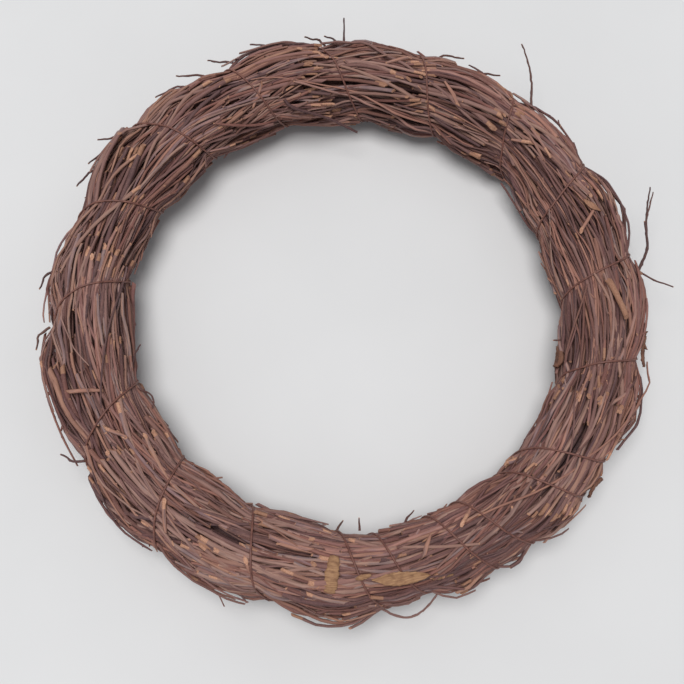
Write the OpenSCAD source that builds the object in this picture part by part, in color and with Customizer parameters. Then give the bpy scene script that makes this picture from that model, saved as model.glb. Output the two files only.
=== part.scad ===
// Wreath frame: sheaves of thin twigs laid round a steel hoop and bound with one spiral of wire.
// Millimetres. The ring lies flat: Z is its axis, and the origin is below its centre, on the
// surface that it rests on. Theta is the angle round the ring, counted from +X. Phi is the angle
// round the bundle's section: 0 is the outer side, 90 the crown, 180 the inner side, -90 the base.

/* [Ring] */
// Distance from the ring's axis to the middle of the bundle
ring_r = 127.5; // [115:0.5:150]
// Diameter of the steel wire of the hoop inside the bundle
hoop_wire_d = 3; // [2:0.5:4]

/* [Twigs] */
// Diameter of the thickest twigs
twig_d = 3; // [2.4:0.1:3.1]
// Thinnest twig, as a share of the thickest
twig_thin = 0.72; // [0.6:0.01:1]
// Number of inner courses of twigs, counted from the hoop
base_courses = 5; // [4:1:6]
// Number of sheaves in the inner courses
base_sheaves = 8; // [6:2:12]
// Number of sheaves in the outer course
cover_sheaves = 10; // [8:1:14]
// How far the butts of one outer sheaf are spread along the ring, in degrees
stagger = 15; // [5:1:25]
// Share of the places between wire turns where a short twig bulges out
bulge_share = 0.45; // [0:0.05:1]

/* [Binding] */
// Number of turns of the wire round the bundle
turns = 19; // [16:1:20]
// Distance from one turn to the next, in degrees round the ring
turn_pitch = 21.5; // [20:0.5:23]
// How much wider the one loose gap at the left is, in degrees
loose_by = 8; // [0:1:12]
// Diameter of the binding wire
wire_d = 1; // [0.8:0.1:1.2]
// Room between the wire and the twigs under it
wire_gap = 0.25; // [0.2:0.05:0.5]

/* [Dry bits] */
// Thickness of a dry leaf
leaf_t = 0.5; // [0.4:0.1:0.8]
// Thickness of a piece of bark
bark_t = 1; // [0.8:0.1:1.6]

/* [Hidden] */
round_fn = 24;
ring_fn = 72;
tube_sides = 6;
curve_steps = 3;

// Distance from the outer course to where the tips begin
tip_room = 4;

// Room left between neighbouring twigs, and between two twigs end to end in degrees
twig_gap = 0.2;
end_gap = 1.2;
pitch = twig_d + twig_gap;
base_rho = [for (j = [0:base_courses - 1]) (hoop_wire_d + twig_d) / 2 + 0.1 + j * pitch];
cover_rho = base_rho[base_courses - 1] + pitch;
cover_top = cover_rho + twig_d / 2;
bulge_rho = cover_rho + twig_d + 0.15;
bulge_top = bulge_rho + twig_d / 2;
cover_rows = row_count(cover_rho);

// Height of the bundle's middle: the lowest bulging twigs touch Z = 0
mid_z = bulge_top;

// Distance from the bundle's middle to the underside of the leaves and bark that lie on the twigs
dry_rho = bulge_top + 0.2;

// Where each turn of the wire crosses the crown, in degrees round the ring. The winding starts
// and ends at the lower right, where the turns of both ends lie between each other.
first_turn = 315;
loose_gap = 5;
turn_at = [
    for (k = [0:turns - 1]) first_turn - turn_pitch * k - (k > loose_gap ? loose_by : 0)
];
wire_rho = cover_top + wire_gap + wire_d / 2;
wire_steps = 24;

// How far along the first and last turn the wire's two ends lie, in turns
wire_start = 0.1;
wire_end = turns - 0.15;

// Gaps between turns that no other turn crosses, and the room left beside the wire in degrees
open_gaps = [2:turns - 4];
wire_room = 1.3;
bulge_slots = 12;
// Rows of short twigs side by side under the wreath
foot_rows = [-1, 0, 1];

base_names = [for (k = [1:base_sheaves]) str("base_sheaf_", k)];
cover_names = [for (k = [1:cover_sheaves]) str("cover_sheaf_", k)];

bark_brown = "#71503f";
bark_red = "#7d5648";
bark_dark = "#4b3733";
cut_tan = "#b08c66";
leaf_ochre = "#96784a";
wire_brown = "#5a4034";

// Number of twigs side by side on a circle of radius rho in the section
function row_count(rho) = floor(360 / (2 * asin(pitch / 2 / rho)));

// Even spread of values between 0 and 1, the same each time
function spread(i, step) = i * step - floor(i * step);
function twig_size(i) = twig_d * (twig_thin + (1 - twig_thin) * spread(i, 0.7548));

function unit(v) = v / norm(v);

// Stray twig that leaves the point start towards heading, an angle in the plan counted from +X.
// It turns by bend degrees on its way, is reach long in the plan and climbs by rise.
function stem(start, heading, bend, reach, rise) = [
    for (s = [0:0.25:1])
        start + [reach * s * cos(heading + bend * s), reach * s * sin(heading + bend * s), rise * s]
];

// Tip that starts beside the bundle at theta. Its end is lean degrees further round the ring and
// reach further off. side is 1 for the outer edge and -1 for the inner one.
function tip(side, theta, lean, reach) =
    let (low = 4 + 3 * spread(theta, 0.618))
    [
        for (s = [0:0.5:1])
            let (off = cover_top + tip_room + reach * s ^ 1.5)
            polar(theta + lean * s, ring_r + side * off, mid_z + low + 2 * s)
    ];

// Point between p[i] and p[i + 1] on a smooth curve through all the points
function curve_point(p, i, t) =
    let (
        last = len(p) - 1,
        before = p[max(i - 1, 0)],
        after = p[min(i + 2, last)],
        pull1 = (p[i + 1] - before) / 2,
        pull2 = (after - p[i]) / 2
    )
    (2 * t ^ 3 - 3 * t ^ 2 + 1) * p[i] + (t ^ 3 - 2 * t ^ 2 + t) * pull1
    + (3 * t ^ 2 - 2 * t ^ 3) * p[i + 1] + (t ^ 3 - t ^ 2) * pull2;
function smooth(p) = [
    for (i = [0:len(p) - 2])
        for (k = [0:curve_steps - 1]) curve_point(p, i, k / curve_steps),
    p[len(p) - 1]
];

// Point at ring angle theta, distance r from the ring's axis and height z
function polar(theta, r, z) = [r * cos(theta), r * sin(theta), z];

// Point on the bundle at section angle phi and distance rho from the bundle's middle
function on_bundle(theta, phi, rho) = polar(theta, ring_r + rho * cos(phi), mid_z + rho * sin(phi));

// Points beside the bundle: d beyond its outer or inner edge, and h above its middle
function outside(theta, d, h) = polar(theta, ring_r + cover_top + d, mid_z + h);
function inside(theta, d, h) = polar(theta, ring_r - cover_top - d, mid_z + h);

// Ring angle of the wire after u turns; turn k crosses the crown at u = k + 0.5
function wire_angle(u) =
    let (k = max(0, min(turns - 2, floor(u - 0.5))))
    turn_at[k] + (turn_at[k + 1] - turn_at[k]) * (u - 0.5 - k);
function wire_phi(u) = 360 * u - 90;
function wire_point(u) = on_bundle(wire_angle(u), wire_phi(u), wire_rho);
function wire_normal(u) =
    let (phi = wire_phi(u), theta = wire_angle(u))
    [cos(phi) * cos(theta), cos(phi) * sin(theta), sin(phi)];

// Twig bent round the ring at one place in the section
module ring_twig(phi, rho, start, span, d) {
    rotate([0, 0, start])
        rotate_extrude(angle = span, $fn = ring_fn)
            translate([ring_r + rho * cos(phi), mid_z + rho * sin(phi)])
                circle(d = d, $fn = round_fn);
}

// Straight round bar from a to b
module bar(a, b, d) {
    v = b - a;
    translate(a)
        rotate([0, acos(v[2] / norm(v)), atan2(v[1], v[0])])
            cylinder(h = norm(v), d = d, $fn = round_fn);
}

// Tube through the points. Each point has its diameter and a vector that its rim is turned to.
module tube(points, sizes, outs) {
    last = len(points) - 1;
    vertices = [
        for (i = [0:last])
            let (
                along = points[min(i + 1, last)] - points[max(i - 1, 0)],
                side = unit(cross(along, outs[i])),
                out = unit(cross(side, along))
            )
            for (s = [0:tube_sides - 1])
                let (a = s * 360 / tube_sides)
                points[i] + sizes[i] / 2 * (cos(a) * out + sin(a) * side)
    ];
    walls = [
        for (i = [0:last - 1])
            for (s = [0:tube_sides - 1])
                let (t = (s + 1) % tube_sides, a = i * tube_sides, b = a + tube_sides)
                [a + s, b + s, b + t, a + t]
    ];
    start_cap = [for (s = [0:tube_sides - 1]) s];
    end_cap = [for (s = [tube_sides - 1:-1:0]) last * tube_sides + s];
    polyhedron(vertices, concat(walls, [start_cap, end_cap]));
}

// Twig along a smooth curve through the points, tapering evenly from d1 to d2
module bent_twig(points, d1, d2) {
    curve = smooth(points);
    last = len(curve) - 1;
    tube(curve, [for (i = [0:last]) d1 + (d2 - d1) * i / last], [for (i = [0:last]) [0, 0, 1]]);
}

// Lays a flat outline on the bundle: its X runs along the ring, its Y round the section
module lay_on_bundle(theta, phi, turn, thickness) {
    translate(on_bundle(theta, phi, dry_rho))
        rotate([0, 0, theta])
            rotate([0, 90 - phi, 0])
                rotate([0, 0, 90 + turn])
                    linear_extrude(thickness)
                        children();
}

module core_hoop() {
    color("#8a8d90")
        translate([0, 0, mid_z])
            rotate_extrude($fn = ring_fn)
                translate([ring_r, 0])
                    circle(d = hoop_wire_d, $fn = round_fn);
}

// Inner sheaf k: every second place of each inner course, long enough to reach two sheaves on
module base_sheaf(k) {
    sector = 360 / base_sheaves;
    color(k % 2 == 0 ? bark_brown : bark_dark)
        for (j = [0:base_courses - 1])
            for (i = [k % 2:2:row_count(base_rho[j]) - 1]) {
                start = sector * (k + spread(i + 7 * j, 0.618));
                ring_twig(i * 360 / row_count(base_rho[j]), base_rho[j], start, 2 * sector - end_gap,
                          twig_size(i + 5 * j));
            }
}

// Outer sheaf k: one twig in every place of the outer course
module cover_sheaf(k) {
    sector = 360 / cover_sheaves;
    color(k % 2 == 0 ? bark_red : bark_brown)
        for (i = [0:cover_rows - 1]) {
            start = sector * k + stagger * spread(i, 0.618);
            ring_twig(i * 360 / cover_rows, cover_rho, start, sector - end_gap, twig_size(i + 3 * k));
        }
}

// One wire, wound from below round the whole bundle
module binding_wire() {
    rings = round((wire_end - wire_start) * wire_steps);
    u = [for (r = [0:rings]) wire_start + r / wire_steps];
    color(wire_brown)
        tube([for (v = u) wire_point(v)], [for (v = u) wire_d], [for (v = u) wire_normal(v)]);
}

// Short twigs that bulge out between two turns of the wire, above and beside the bundle
module bulge_twigs() {
    color(bark_red)
        for (k = open_gaps)
            for (s = [1:bulge_slots - 1])
                if (spread(k * bulge_slots + s, 0.618) < bulge_share) {
                    u = k + s / bulge_slots;
                    span = wire_angle(u) - wire_angle(u + 1) - 2 * wire_room;
                    ring_twig(wire_phi(s / bulge_slots), bulge_rho, wire_angle(u + 1) + wire_room, span,
                              twig_size(k + s));
                }
}

// Short straight twigs under the bundle, side by side between the turns: the wreath lies on these
module underside_twigs() {
    color(bark_dark)
        for (k = open_gaps)
            for (row = foot_rows) {
                r = ring_r + row * pitch;
                a = polar(wire_angle(k) - wire_room, r, twig_d / 2);
                b = polar(wire_angle(k + 1) + wire_room, r, twig_d / 2);
                bar(a, b, twig_d);
            }
}

module stray_twig_top() {
    color(bark_dark)
        bent_twig(stem(outside(90, 4, 7), 90, 0, 9, 3), 1.4, 0.8);
}

// Tall thin twig that stands up from the outline, with its tip bent over
module stray_twig_tall() {
    color(bark_dark)
        bent_twig(stem(outside(50, 5, 9), 90, 12, 24, 6), 1.5, 0.9);
}

// Twig with a fork: the main stem, its outer prong and a short one lower down
module stray_twig_forked() {
    main = stem(outside(10, 4, 10), 92, -8, 32, 4);
    color(bark_dark) {
        bent_twig(main, 1.9, 0.9);
        bent_twig(stem(main[2], 70, 0, 16, -2), 1.2, 0.8);
        bent_twig(stem(main[1], 110, 0, 5, 4), 1.1, 0.8);
    }
}

module stray_twig_right() {
    color(bark_dark)
        bent_twig(stem(outside(5, 4, 4), -25, 0, 12, 1), 1.2, 0.8);
}

// Thick dark twig that lies along the upper outline and drops to its end
module dark_twig_crown() {
    color(bark_dark)
        bent_twig([for (theta = [84:-4:72]) outside(theta, 4.5, 5 + (theta - 72) / 3)], 2.6, 2);
}

// Twig that lies over the inner side at the top and hangs below its edge
module inner_twig_top() {
    color(bark_dark)
        bent_twig([for (s = [0:0.5:1]) inside(104 - 18 * s, 2 + 6 * s, 12 - 14 * s)], 1.8, 1.2);
}

module curly_twig_left() {
    color(bark_dark)
        bent_twig(stem(inside(205, 4, 7), -20, -50, 9, 1), 1.2, 0.8);
}

// Short tips that stand off the inner edge. Each is [theta, lean, reach].
module inner_spikes() {
    color(bark_dark)
        for (t = [[197, -5, 6], [350, -1, 5], [17, -2, 2], [268, 1, 2], [273, 0, 3], [285, 2, 2]])
            bent_twig(tip(-1, t[0], t[1], t[2]), 1.3, 0.8);
}

// Tips that stand off the upper outline. Each is [theta, lean, reach].
module edge_twigs_top() {
    color(bark_brown)
        for (t = [[114, 4, 5], [101, 8, 5], [95, 3, 2], [92, 2, 1], [69, -4, 1], [60, -3, 2]])
            bent_twig(tip(1, t[0], t[1], t[2]), 1.5, 0.9);
}

// Tips that stand off the left outline. Each is [theta, lean, reach].
module edge_twigs_left() {
    color(bark_brown) {
        for (t = [[121, 4, 5], [126, 5, 1], [142, 3, 6], [145, 5, 2], [151, 4, 1]])
            bent_twig(tip(1, t[0], t[1], t[2]), 1.5, 0.9);
        for (t = [[174, 3, 1], [186, 3, 1], [211, -2, 3]])
            bent_twig(tip(1, t[0], t[1], t[2]), 1.6, 1);
    }
}

// Thin twigs that stand off the outline as long shallow loops. Each is [from theta, to theta, height].
module loop_twigs() {
    color(bark_red)
        for (loop = [[217, 228, 0], [277, 285, 0], [188, 200, -2]])
            bent_twig([
                for (s = [0:0.25:1])
                    outside(loop[0] + (loop[1] - loop[0]) * s, 4.2 + 2 * sin(180 * s), loop[2])
            ], 1.4, 1.2);
}

// Pale twig without bark, on the crown at the right
module peeled_twig() {
    color(cut_tan)
        bent_twig([for (s = [0:0.5:1]) on_bundle(2 - 8 * s, 96 - 16 * s, dry_rho + 2.2)], 3, 2.6);
}

// Pointed dry blade, 25 mm long
module leaf_blade() {
    color(leaf_ochre)
        lay_on_bundle(280, 75, -6, leaf_t)
            polygon([
                [-12.5, 0.4], [-8, 1.8], [0, 3], [7, 2.4], [12.5, 0], [7, -2], [0, -2.8], [-8, -1.6]
            ]);
}

module tan_leaf() {
    color(cut_tan)
        lay_on_bundle(20, 85, 35, leaf_t)
            polygon([[-5, 0], [-2.5, 2], [1.5, 2.4], [5, 0.5], [2, -2], [-2.5, -1.8]]);
}

// Strip of bark that lies across the twigs
module bark_strip() {
    color(leaf_ochre)
        lay_on_bundle(267, 87, 82, bark_t)
            polygon([[-7.5, -2.4], [7.2, -3], [7.6, 1.6], [1, 3.2], [-7, 2.8]]);
}

// Two small chips of bark beside the blade
module bark_chips() {
    color(leaf_ochre) {
        lay_on_bundle(273, 84, 10, bark_t)
            polygon([[-3.2, -0.8], [3, -1.2], [3.4, 0.6], [-2.8, 1.2]]);
        lay_on_bundle(288, 50, -12, bark_t)
            polygon([[-5, -1], [4.6, -1.6], [5, 0.8], [-4.4, 1.3]]);
    }
}

// Thick flake of bark on the inner edge at the right
module bark_lump() {
    color(bark_red)
        lay_on_bundle(345, 168, 8, 2 * bark_t)
            polygon([[-5, -3], [2, -4], [5.5, -1], [4, 3.4], [-2, 4], [-5.5, 1]]);
}

// Torn bark on the outer side, at the right and at the lower right
module ragged_bark() {
    color(bark_brown) {
        lay_on_bundle(350, 20, 30, bark_t)
            polygon([[-6, -1.5], [5, -2.5], [8, -0.5], [4, 0.2], [7, 2], [-1, 2.8], [-6.5, 1.5]]);
        lay_on_bundle(322, 12, -20, bark_t)
            polygon([[-5.5, -2], [2, -2.6], [6.5, -1.8], [3, -0.4], [6, 1.4], [-1, 1.6], [-5, 2.4]]);
    }
}

core_hoop();
binding_wire();
for (k = [1:base_sheaves]) base_sheaf(k);
for (k = [1:cover_sheaves]) cover_sheaf(k);
bulge_twigs();
underside_twigs();
stray_twig_top();
stray_twig_tall();
stray_twig_forked();
stray_twig_right();
dark_twig_crown();
inner_twig_top();
curly_twig_left();
inner_spikes();
edge_twigs_top();
edge_twigs_left();
loop_twigs();
peeled_twig();
leaf_blade();
tan_leaf();
bark_strip();
bark_chips();
bark_lump();
ragged_bark();
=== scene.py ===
import math

import bpy
import numpy as np
from mathutils import Matrix, Vector


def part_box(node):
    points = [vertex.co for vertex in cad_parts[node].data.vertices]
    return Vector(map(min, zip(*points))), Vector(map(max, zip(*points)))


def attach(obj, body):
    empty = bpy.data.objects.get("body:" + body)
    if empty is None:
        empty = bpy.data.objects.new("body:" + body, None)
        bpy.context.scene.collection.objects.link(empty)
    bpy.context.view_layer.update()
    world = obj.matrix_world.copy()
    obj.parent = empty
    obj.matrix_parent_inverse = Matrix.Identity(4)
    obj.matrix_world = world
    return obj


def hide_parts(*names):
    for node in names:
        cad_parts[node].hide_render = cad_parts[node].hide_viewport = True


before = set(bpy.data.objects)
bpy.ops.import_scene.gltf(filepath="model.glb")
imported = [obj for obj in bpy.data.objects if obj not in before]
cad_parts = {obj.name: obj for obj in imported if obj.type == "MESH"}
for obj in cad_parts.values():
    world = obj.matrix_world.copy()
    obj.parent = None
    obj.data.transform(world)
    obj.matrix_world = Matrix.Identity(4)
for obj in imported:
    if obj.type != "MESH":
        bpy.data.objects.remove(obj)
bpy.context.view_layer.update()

MM = 0.001
rng = np.random.default_rng(5730)

# ---------------------------------------------------------------- sizes, in mm, from the frame

hoop_low, hoop_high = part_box("core_hoop")
HOOP_D = (hoop_high.z - hoop_low.z) / MM
RING = hoop_high.x / MM - HOOP_D / 2
MID = (hoop_low.z + hoop_high.z) / 2 / MM
COVER_SHEAVES, BASE_SHEAVES = 10, 8
COVER = max(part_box(f"cover_sheaf_{k}")[1].z for k in range(1, COVER_SHEAVES + 1)) / MM - MID
# The distance to the bundle's middle at which lengths on its surface are turned into angles
MEAN_RHO = COVER + 0.8

# Where each turn of the wire crosses the crown, by the same rule as in the frame: degrees round the ring
TURNS = 19
FIRST_TURN, TURN_PITCH = 315, 21.5
LOOSE_GAP, LOOSE_BY = 5, 8
TURN_AT = np.array([FIRST_TURN - TURN_PITCH * k - (LOOSE_BY if k > LOOSE_GAP else 0) for k in range(TURNS)])
# Where the wire begins and ends, in turns counted from the bundle's lowest line, and its radius in mm
WIRE_START, WIRE_END = 0.1, TURNS - 0.15
WIRE_R = 0.5
# Nothing is meshed lower than this above the floor, in mm
LOWEST = 0.1

# A hand-made ring is never quite even. Each wave: how many go round the ring, phase in degrees, height in mm
WANDER = [(2, 210, 0.8), (5, 200, 0.7), (8, 80, 0.5)]
THICKER = [(3, 100, 0.5), (6, 10, 0.5), (9, 250, 0.4)]


def waves(terms, theta):
    """Sum of the waves at the ring angle theta."""
    return sum(size * np.sin(np.radians(n * np.asarray(theta) + phase)) for n, phase, size in terms)


def wire_theta(u):
    """Ring angle of the wire after u turns, in degrees."""
    k = np.clip(np.floor(u - 0.5), 0, TURNS - 2).astype(int)
    return TURN_AT[k] + (TURN_AT[k + 1] - TURN_AT[k]) * (u - 0.5 - k)


def place(theta, phi, rho):
    """Points in mm on the bundle, from angles in degrees and the distance to its middle."""
    t, p = np.radians(theta), np.radians(phi)
    reach = RING + waves(WANDER, theta) + rho * np.cos(p)
    return np.stack([reach * np.cos(t), reach * np.sin(t), MID + rho * np.sin(p)], -1)


def outward(theta, phi):
    """Unit vectors that point out of the bundle."""
    t, p = np.radians(theta), np.radians(phi)
    return np.stack([np.cos(p) * np.cos(t), np.cos(p) * np.sin(t), np.sin(p)], -1)


# ---------------------------------------------------------------- the bundle's surface as a height map

CELLS_T, CELLS_P = 1440, 252
theta_of = np.arange(CELLS_T) * 360 / CELLS_T
phi_of = np.arange(CELLS_P) * 360 / CELLS_P


def ripple(theta, phi, terms, high_t, high_p):
    """Smooth noise, about -1 to 1, that closes round the ring and round the section."""
    total = np.zeros(np.broadcast(theta, phi).shape)
    for _ in range(terms):
        kt, kp = rng.integers(1, high_t + 1), rng.integers(-high_p, high_p + 1)
        total += np.cos(np.radians(kt * theta + kp * phi) + rng.uniform(0, 2 * np.pi))
    return total / math.sqrt(terms)


# For each cell: which turn of the wire comes before it, how far along the gap to the next turn it is,
# and how wide that gap is in mm
turn_before = np.zeros((CELLS_T, CELLS_P), int)
gap_share = np.zeros((CELLS_T, CELLS_P))
gap_width = np.zeros((CELLS_T, CELLS_P))
for j, phi in enumerate(phi_of):
    passes = np.arange(TURNS) + ((phi + 90) / 360) % 1
    passes = passes[(passes >= WIRE_START) & (passes <= WIRE_END)]
    at = np.sort(wire_theta(passes) % 360)
    edges = np.concatenate([[at[-1] - 360], at, [at[0] + 360]])
    i = np.searchsorted(at, theta_of, side="right")
    turn_before[:, j] = i % len(at)
    gap_share[:, j] = (theta_of - edges[i]) / (edges[i + 1] - edges[i])
    reach = RING + MEAN_RHO * math.cos(math.radians(phi))
    gap_width[:, j] = np.radians(edges[i + 1] - edges[i]) * reach

T2, P2 = np.meshgrid(theta_of, phi_of, indexing="ij")
under = np.clip(-np.sin(np.radians(P2)), 0, 1) ** 2
# The bundle bulges between two turns, in mm: unevenly, and less in a narrow gap and on the underside
WIDE_GAP = 40
bulge = np.clip(1.0 + 0.6 * ripple(T2, P2, 14, 9, 3), 0.1, 2.2)
bulge *= np.minimum(1, (gap_width / WIDE_GAP) ** 1.5) * (1 - 0.4 * under)
pinched = bulge * (1 - np.abs(2 * gap_share - 1) ** 2.3)
# In mm: how far the surface at a turn of the wire lies below the frame's cover, how deep the outer twigs
# lie, and how far a twig can stand proud of the surface
SLACK, LAYERS, PROUD = 1.2, 6.7, 1.8
# How sharply a twig bends over what it lies on, and the wire over the twigs
BEND, WIRE_BEND = 0.02, 0.024
shape = COVER - SLACK + pinched + waves(THICKER, T2) * (1 - under)
height = shape - LAYERS


def cell(theta, phi):
    """Row and column of the height map at a place on the bundle."""
    i = np.round(np.asarray(theta) * CELLS_T / 360).astype(int) % CELLS_T
    j = np.round(np.asarray(phi) * CELLS_P / 360).astype(int) % CELLS_P
    return i, j


# ---------------------------------------------------------------- laying a twig

# Squared distances between the points of a line, in steps, for lines of up to 320 points
steps_along = np.arange(320.0)
SPAN2 = (steps_along[:, None] - steps_along[None, :]) ** 2


def bridge(h, k, step=1.0):
    """The lowest line over the heights h that bends upward no faster than k allows."""
    n = len(h)
    curve = SPAN2[:n, :n] * (k * step * step)
    over = (h[None, :] - curve).max(1)
    return (over[None, :] + curve).min(1)


# How much a twig's heading varies from joint to joint, in degrees
ZIGZAG = 2.6


def reach_of(p):
    """Distance from the ring's axis at the section angle p."""
    return RING + MEAN_RHO * np.cos(np.radians(p))


def beside(t, p, heading, reach, d, r):
    """Cells at d radii r to the side of a line over the bundle."""
    dt = np.degrees(-np.sin(heading) * d * r / reach)
    dp = np.degrees(np.cos(heading) * d * r / MEAN_RHO)
    return cell(t + dt, p + dp)


def route(theta, phi, length, slant, curl):
    """A line over the bundle from its butt: s in mm, ring angle, section angle, heading and joints."""
    n = max(int(length), 8)
    s = np.arange(n, dtype=float)
    joints = np.cumsum(rng.uniform(11, 27, int(length / 11) + 3)) - 8
    bend = rng.normal(0, ZIGZAG, len(joints) + 1)[np.searchsorted(joints, s)]
    heading = np.radians(slant + bend + curl * (s / n - 0.5))
    p = phi + np.degrees(np.cumsum(np.sin(heading)) / MEAN_RHO)
    t = theta + np.degrees(np.cumsum(np.cos(heading) / reach_of(p)))
    return s, t, p, heading, joints[(joints > 4) & (joints < n - 4)]


twigs = []


def rest_height(t, p, heading, r):
    """Height of the middle of a round twig that touches what lies under it."""
    need = np.full(len(t), -np.inf)
    reach = reach_of(p)
    for d in (-0.85, -0.45, 0, 0.45, 0.85):
        i, j = beside(t, p, heading, reach, d, r)
        need = np.maximum(need, height[i, j] + r * math.sqrt(1 - d * d))
    return need


def press_on(t, p, heading, rho, r):
    """Adds a laid twig to the height map."""
    reach = reach_of(p)
    fine = np.arange(0, len(t) - 1, 0.45)
    base = np.arange(len(t))
    t, p, heading = (np.interp(fine, base, v) for v in (t, p, heading))
    rho, r, reach = (np.interp(fine, base, v) for v in (rho, r, reach))
    for d in np.linspace(-0.95, 0.95, 9):
        i, j = beside(t, p, heading, reach, d, r)
        np.maximum.at(height, (i, j), rho + r * math.sqrt(1 - d * d))


# Weight of the middle of a place that stays open, and the shortest twig in mm that may end beside one
KEEP_OUT, SHORTEST = 9, 15


def lay(theta, phi, length, slant, curl, d1, d2, tries, spread, lift=0.0, arc=0.0, kind="sheaf", cut=45,
        tint=None, deposit=True, butt_lift=0.0):
    """Lays one twig on the bundle where the bundle is lowest, out of a few places near the one asked for."""
    best = None
    for _ in range(tries):
        line = route(theta + rng.normal(0, spread[0]), phi + rng.normal(0, spread[1]), length, slant, curl)
        i, j = cell(line[1][::5], line[2][::5])
        low = (height[i, j] - shape[i, j]).mean() + keep_clear[i, j].mean()
        if best is None or low < best[0]:
            best = (low, line)
    s, t, p, heading, joints = best[1]
    i, j = cell(t, p)
    # A twig that runs into a place to keep open ends there, or starts beyond it
    stop = np.nonzero(keep_clear[i, j] > KEEP_OUT / 2)[0]
    if kind == "sheaf" and len(stop):
        part = slice(0, stop[0]) if stop[0] > len(s) - stop[-1] else slice(stop[-1] + 1, None)
        if len(s[part]) < SHORTEST:
            return
        s, t, p, heading, i, j = s[part] - s[part][0], t[part], p[part], heading[part], i[part], j[part]
        joints = joints[joints < s[-1] - 4]
    r = (d1 + (d2 - d1) * (s / s[-1]) ** 1.2) / 2
    rest = np.maximum(rest_height(t, p, heading, r.mean()) - shape[i, j], -LAYERS)
    rest = bridge(rest, BEND)
    # The binding squeezes whatever stands proud
    rest = np.where(rest > 0, PROUD * (1 - np.exp(-rest / PROUD)), rest)
    rho = shape[i, j] + rest - 0.1 + butt_lift * np.exp(-s / 7)
    crossings = np.nonzero(np.diff(turn_before[i, j]))[0]
    # The free end beyond the last turn stands off, and so does a long stretch between two turns
    last = crossings[-1] if len(crossings) else 0
    rho += lift * (np.clip(s - last, 0, None) / 25) ** 2
    if arc:
        rho += arc * np.sin(np.pi * gap_share[i, j]) ** 1.2 * np.minimum(1, gap_width[i, j] / WIDE_GAP)
    if deposit:
        press_on(t, p, heading, rho, r)
    twigs.append(dict(s=s, t=t, p=p, rho=rho, r=r, joints=joints, crossings=crossings, kind=kind,
                      cut=cut, tint=rng.uniform() if tint is None else tint, order=len(twigs)))


# Places that stay open and dark: (ring angle, section angle, half width in each)
keep_clear = np.zeros((CELLS_T, CELLS_P))
HOLLOWS = [
    (90, 160, 4, 20), (190, 85, 8, 9), (75, 120, 5, 8), (95, 125, 6, 7),
    (145, 60, 6, 8), (20, 65, 7, 7), (325, 95, 6, 7), (245, 95, 5, 7)]
for at_t, at_p, wide_t, wide_p in HOLLOWS:
    away = ((T2 - at_t + 180) % 360 - 180) / wide_t
    across = ((P2 - at_p + 180) % 360 - 180) / wide_p
    keep_clear += KEEP_OUT * np.exp(-(away ** 2 + across ** 2))

# ---------------------------------------------------------------- sheaves, each laid over the last one's tips

# The sheaves begin at even steps round the ring
SHEAF_COUNT = 15
SHEAVES = [360 // SHEAF_COUNT * k for k in range(SHEAF_COUNT)]
# Where the butts of a sheaf show as one cluster: sheaf, section angle and half width in degrees
CLUSTERS = {0: (65, 15), 1: (55, 12), 2: (90, 15), 3: (120, 15), 4: (90, 15), 6: (60, 15), 7: (110, 20),
            8: (30, 15), 9: (85, 30), 10: (75, 15), 11: (125, 20), 13: (50, 15), 14: (100, 15)}


def thickness():
    """Diameter of a twig's butt in mm: few are thick."""
    return rng.choice([2.4, 1.8, 1.4, 1.1], p=[0.06, 0.22, 0.4, 0.32]) * rng.uniform(0.9, 1.1)


def handful(begin, phi, wide, slant, count, shortest, longest, cut, butt_lift, stout=1.0):
    """Twigs laid side by side with their butts together."""
    for _ in range(count):
        thick = thickness() * stout
        lay(begin + rng.normal(0, 1.9), phi + rng.normal(0, wide), rng.uniform(shortest, longest),
            slant + rng.normal(0, 3.2), rng.normal(0, 6), d1=thick, d2=thick * rng.uniform(0.5, 0.8),
            tries=4, spread=(0.8, 8), cut=rng.uniform(*cut), butt_lift=rng.uniform(0, butt_lift))


# A sheaf is eight handfuls, spaced evenly round the bundle
HANDFULS = 8
APART = 360 // HANDFULS
for sheaf, start in enumerate(SHEAVES):
    first = rng.uniform(0, APART)
    for n in rng.permutation(HANDFULS):
        handful(start + rng.normal(0, 5), first + APART * n, 13, rng.normal(0, 7), 12, 70, 165, (5, 55), 0.6)
    if sheaf in CLUSTERS:
        centre, wide = CLUSTERS[sheaf]
        handful(start, centre, wide, rng.normal(0, 4), 16, 70, 150, (35, 65), 1.4, 1.2)

# Single twigs over the sheaves, many of them slanted
SINGLE_TWIGS = 240
for _ in range(SINGLE_TWIGS):
    thick = rng.uniform(0.9, 1.8)
    lay(rng.uniform(0, 360), rng.uniform(0, 360), rng.uniform(40, 130), rng.normal(0, 13), rng.normal(0, 8),
        d1=thick, d2=thick * rng.uniform(0.5, 0.8), tries=5, spread=(8, 25), lift=rng.uniform(0, 1.0),
        arc=rng.uniform(0, 0.7), kind="over", cut=rng.uniform(0, 55))

# Stout twigs that cross the others at a slant: ring angle, section angle, length in mm, slant
SLANTED_TWIGS = [
    (65, 140, 55, -15), (270, 135, 60, -20), (245, 60, 70, 15), (150, 120, 60, -20),
    (30, 60, 60, 15), (205, 120, 65, -15), (120, 70, 60, 15), (335, 60, 70, 15)]
for begin, phi, length, slant in SLANTED_TWIGS:
    lay(begin, phi, length, slant, 4, d1=2.1, d2=1.4, tries=1, spread=(0, 0), kind="over", tint=0.75)

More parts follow.
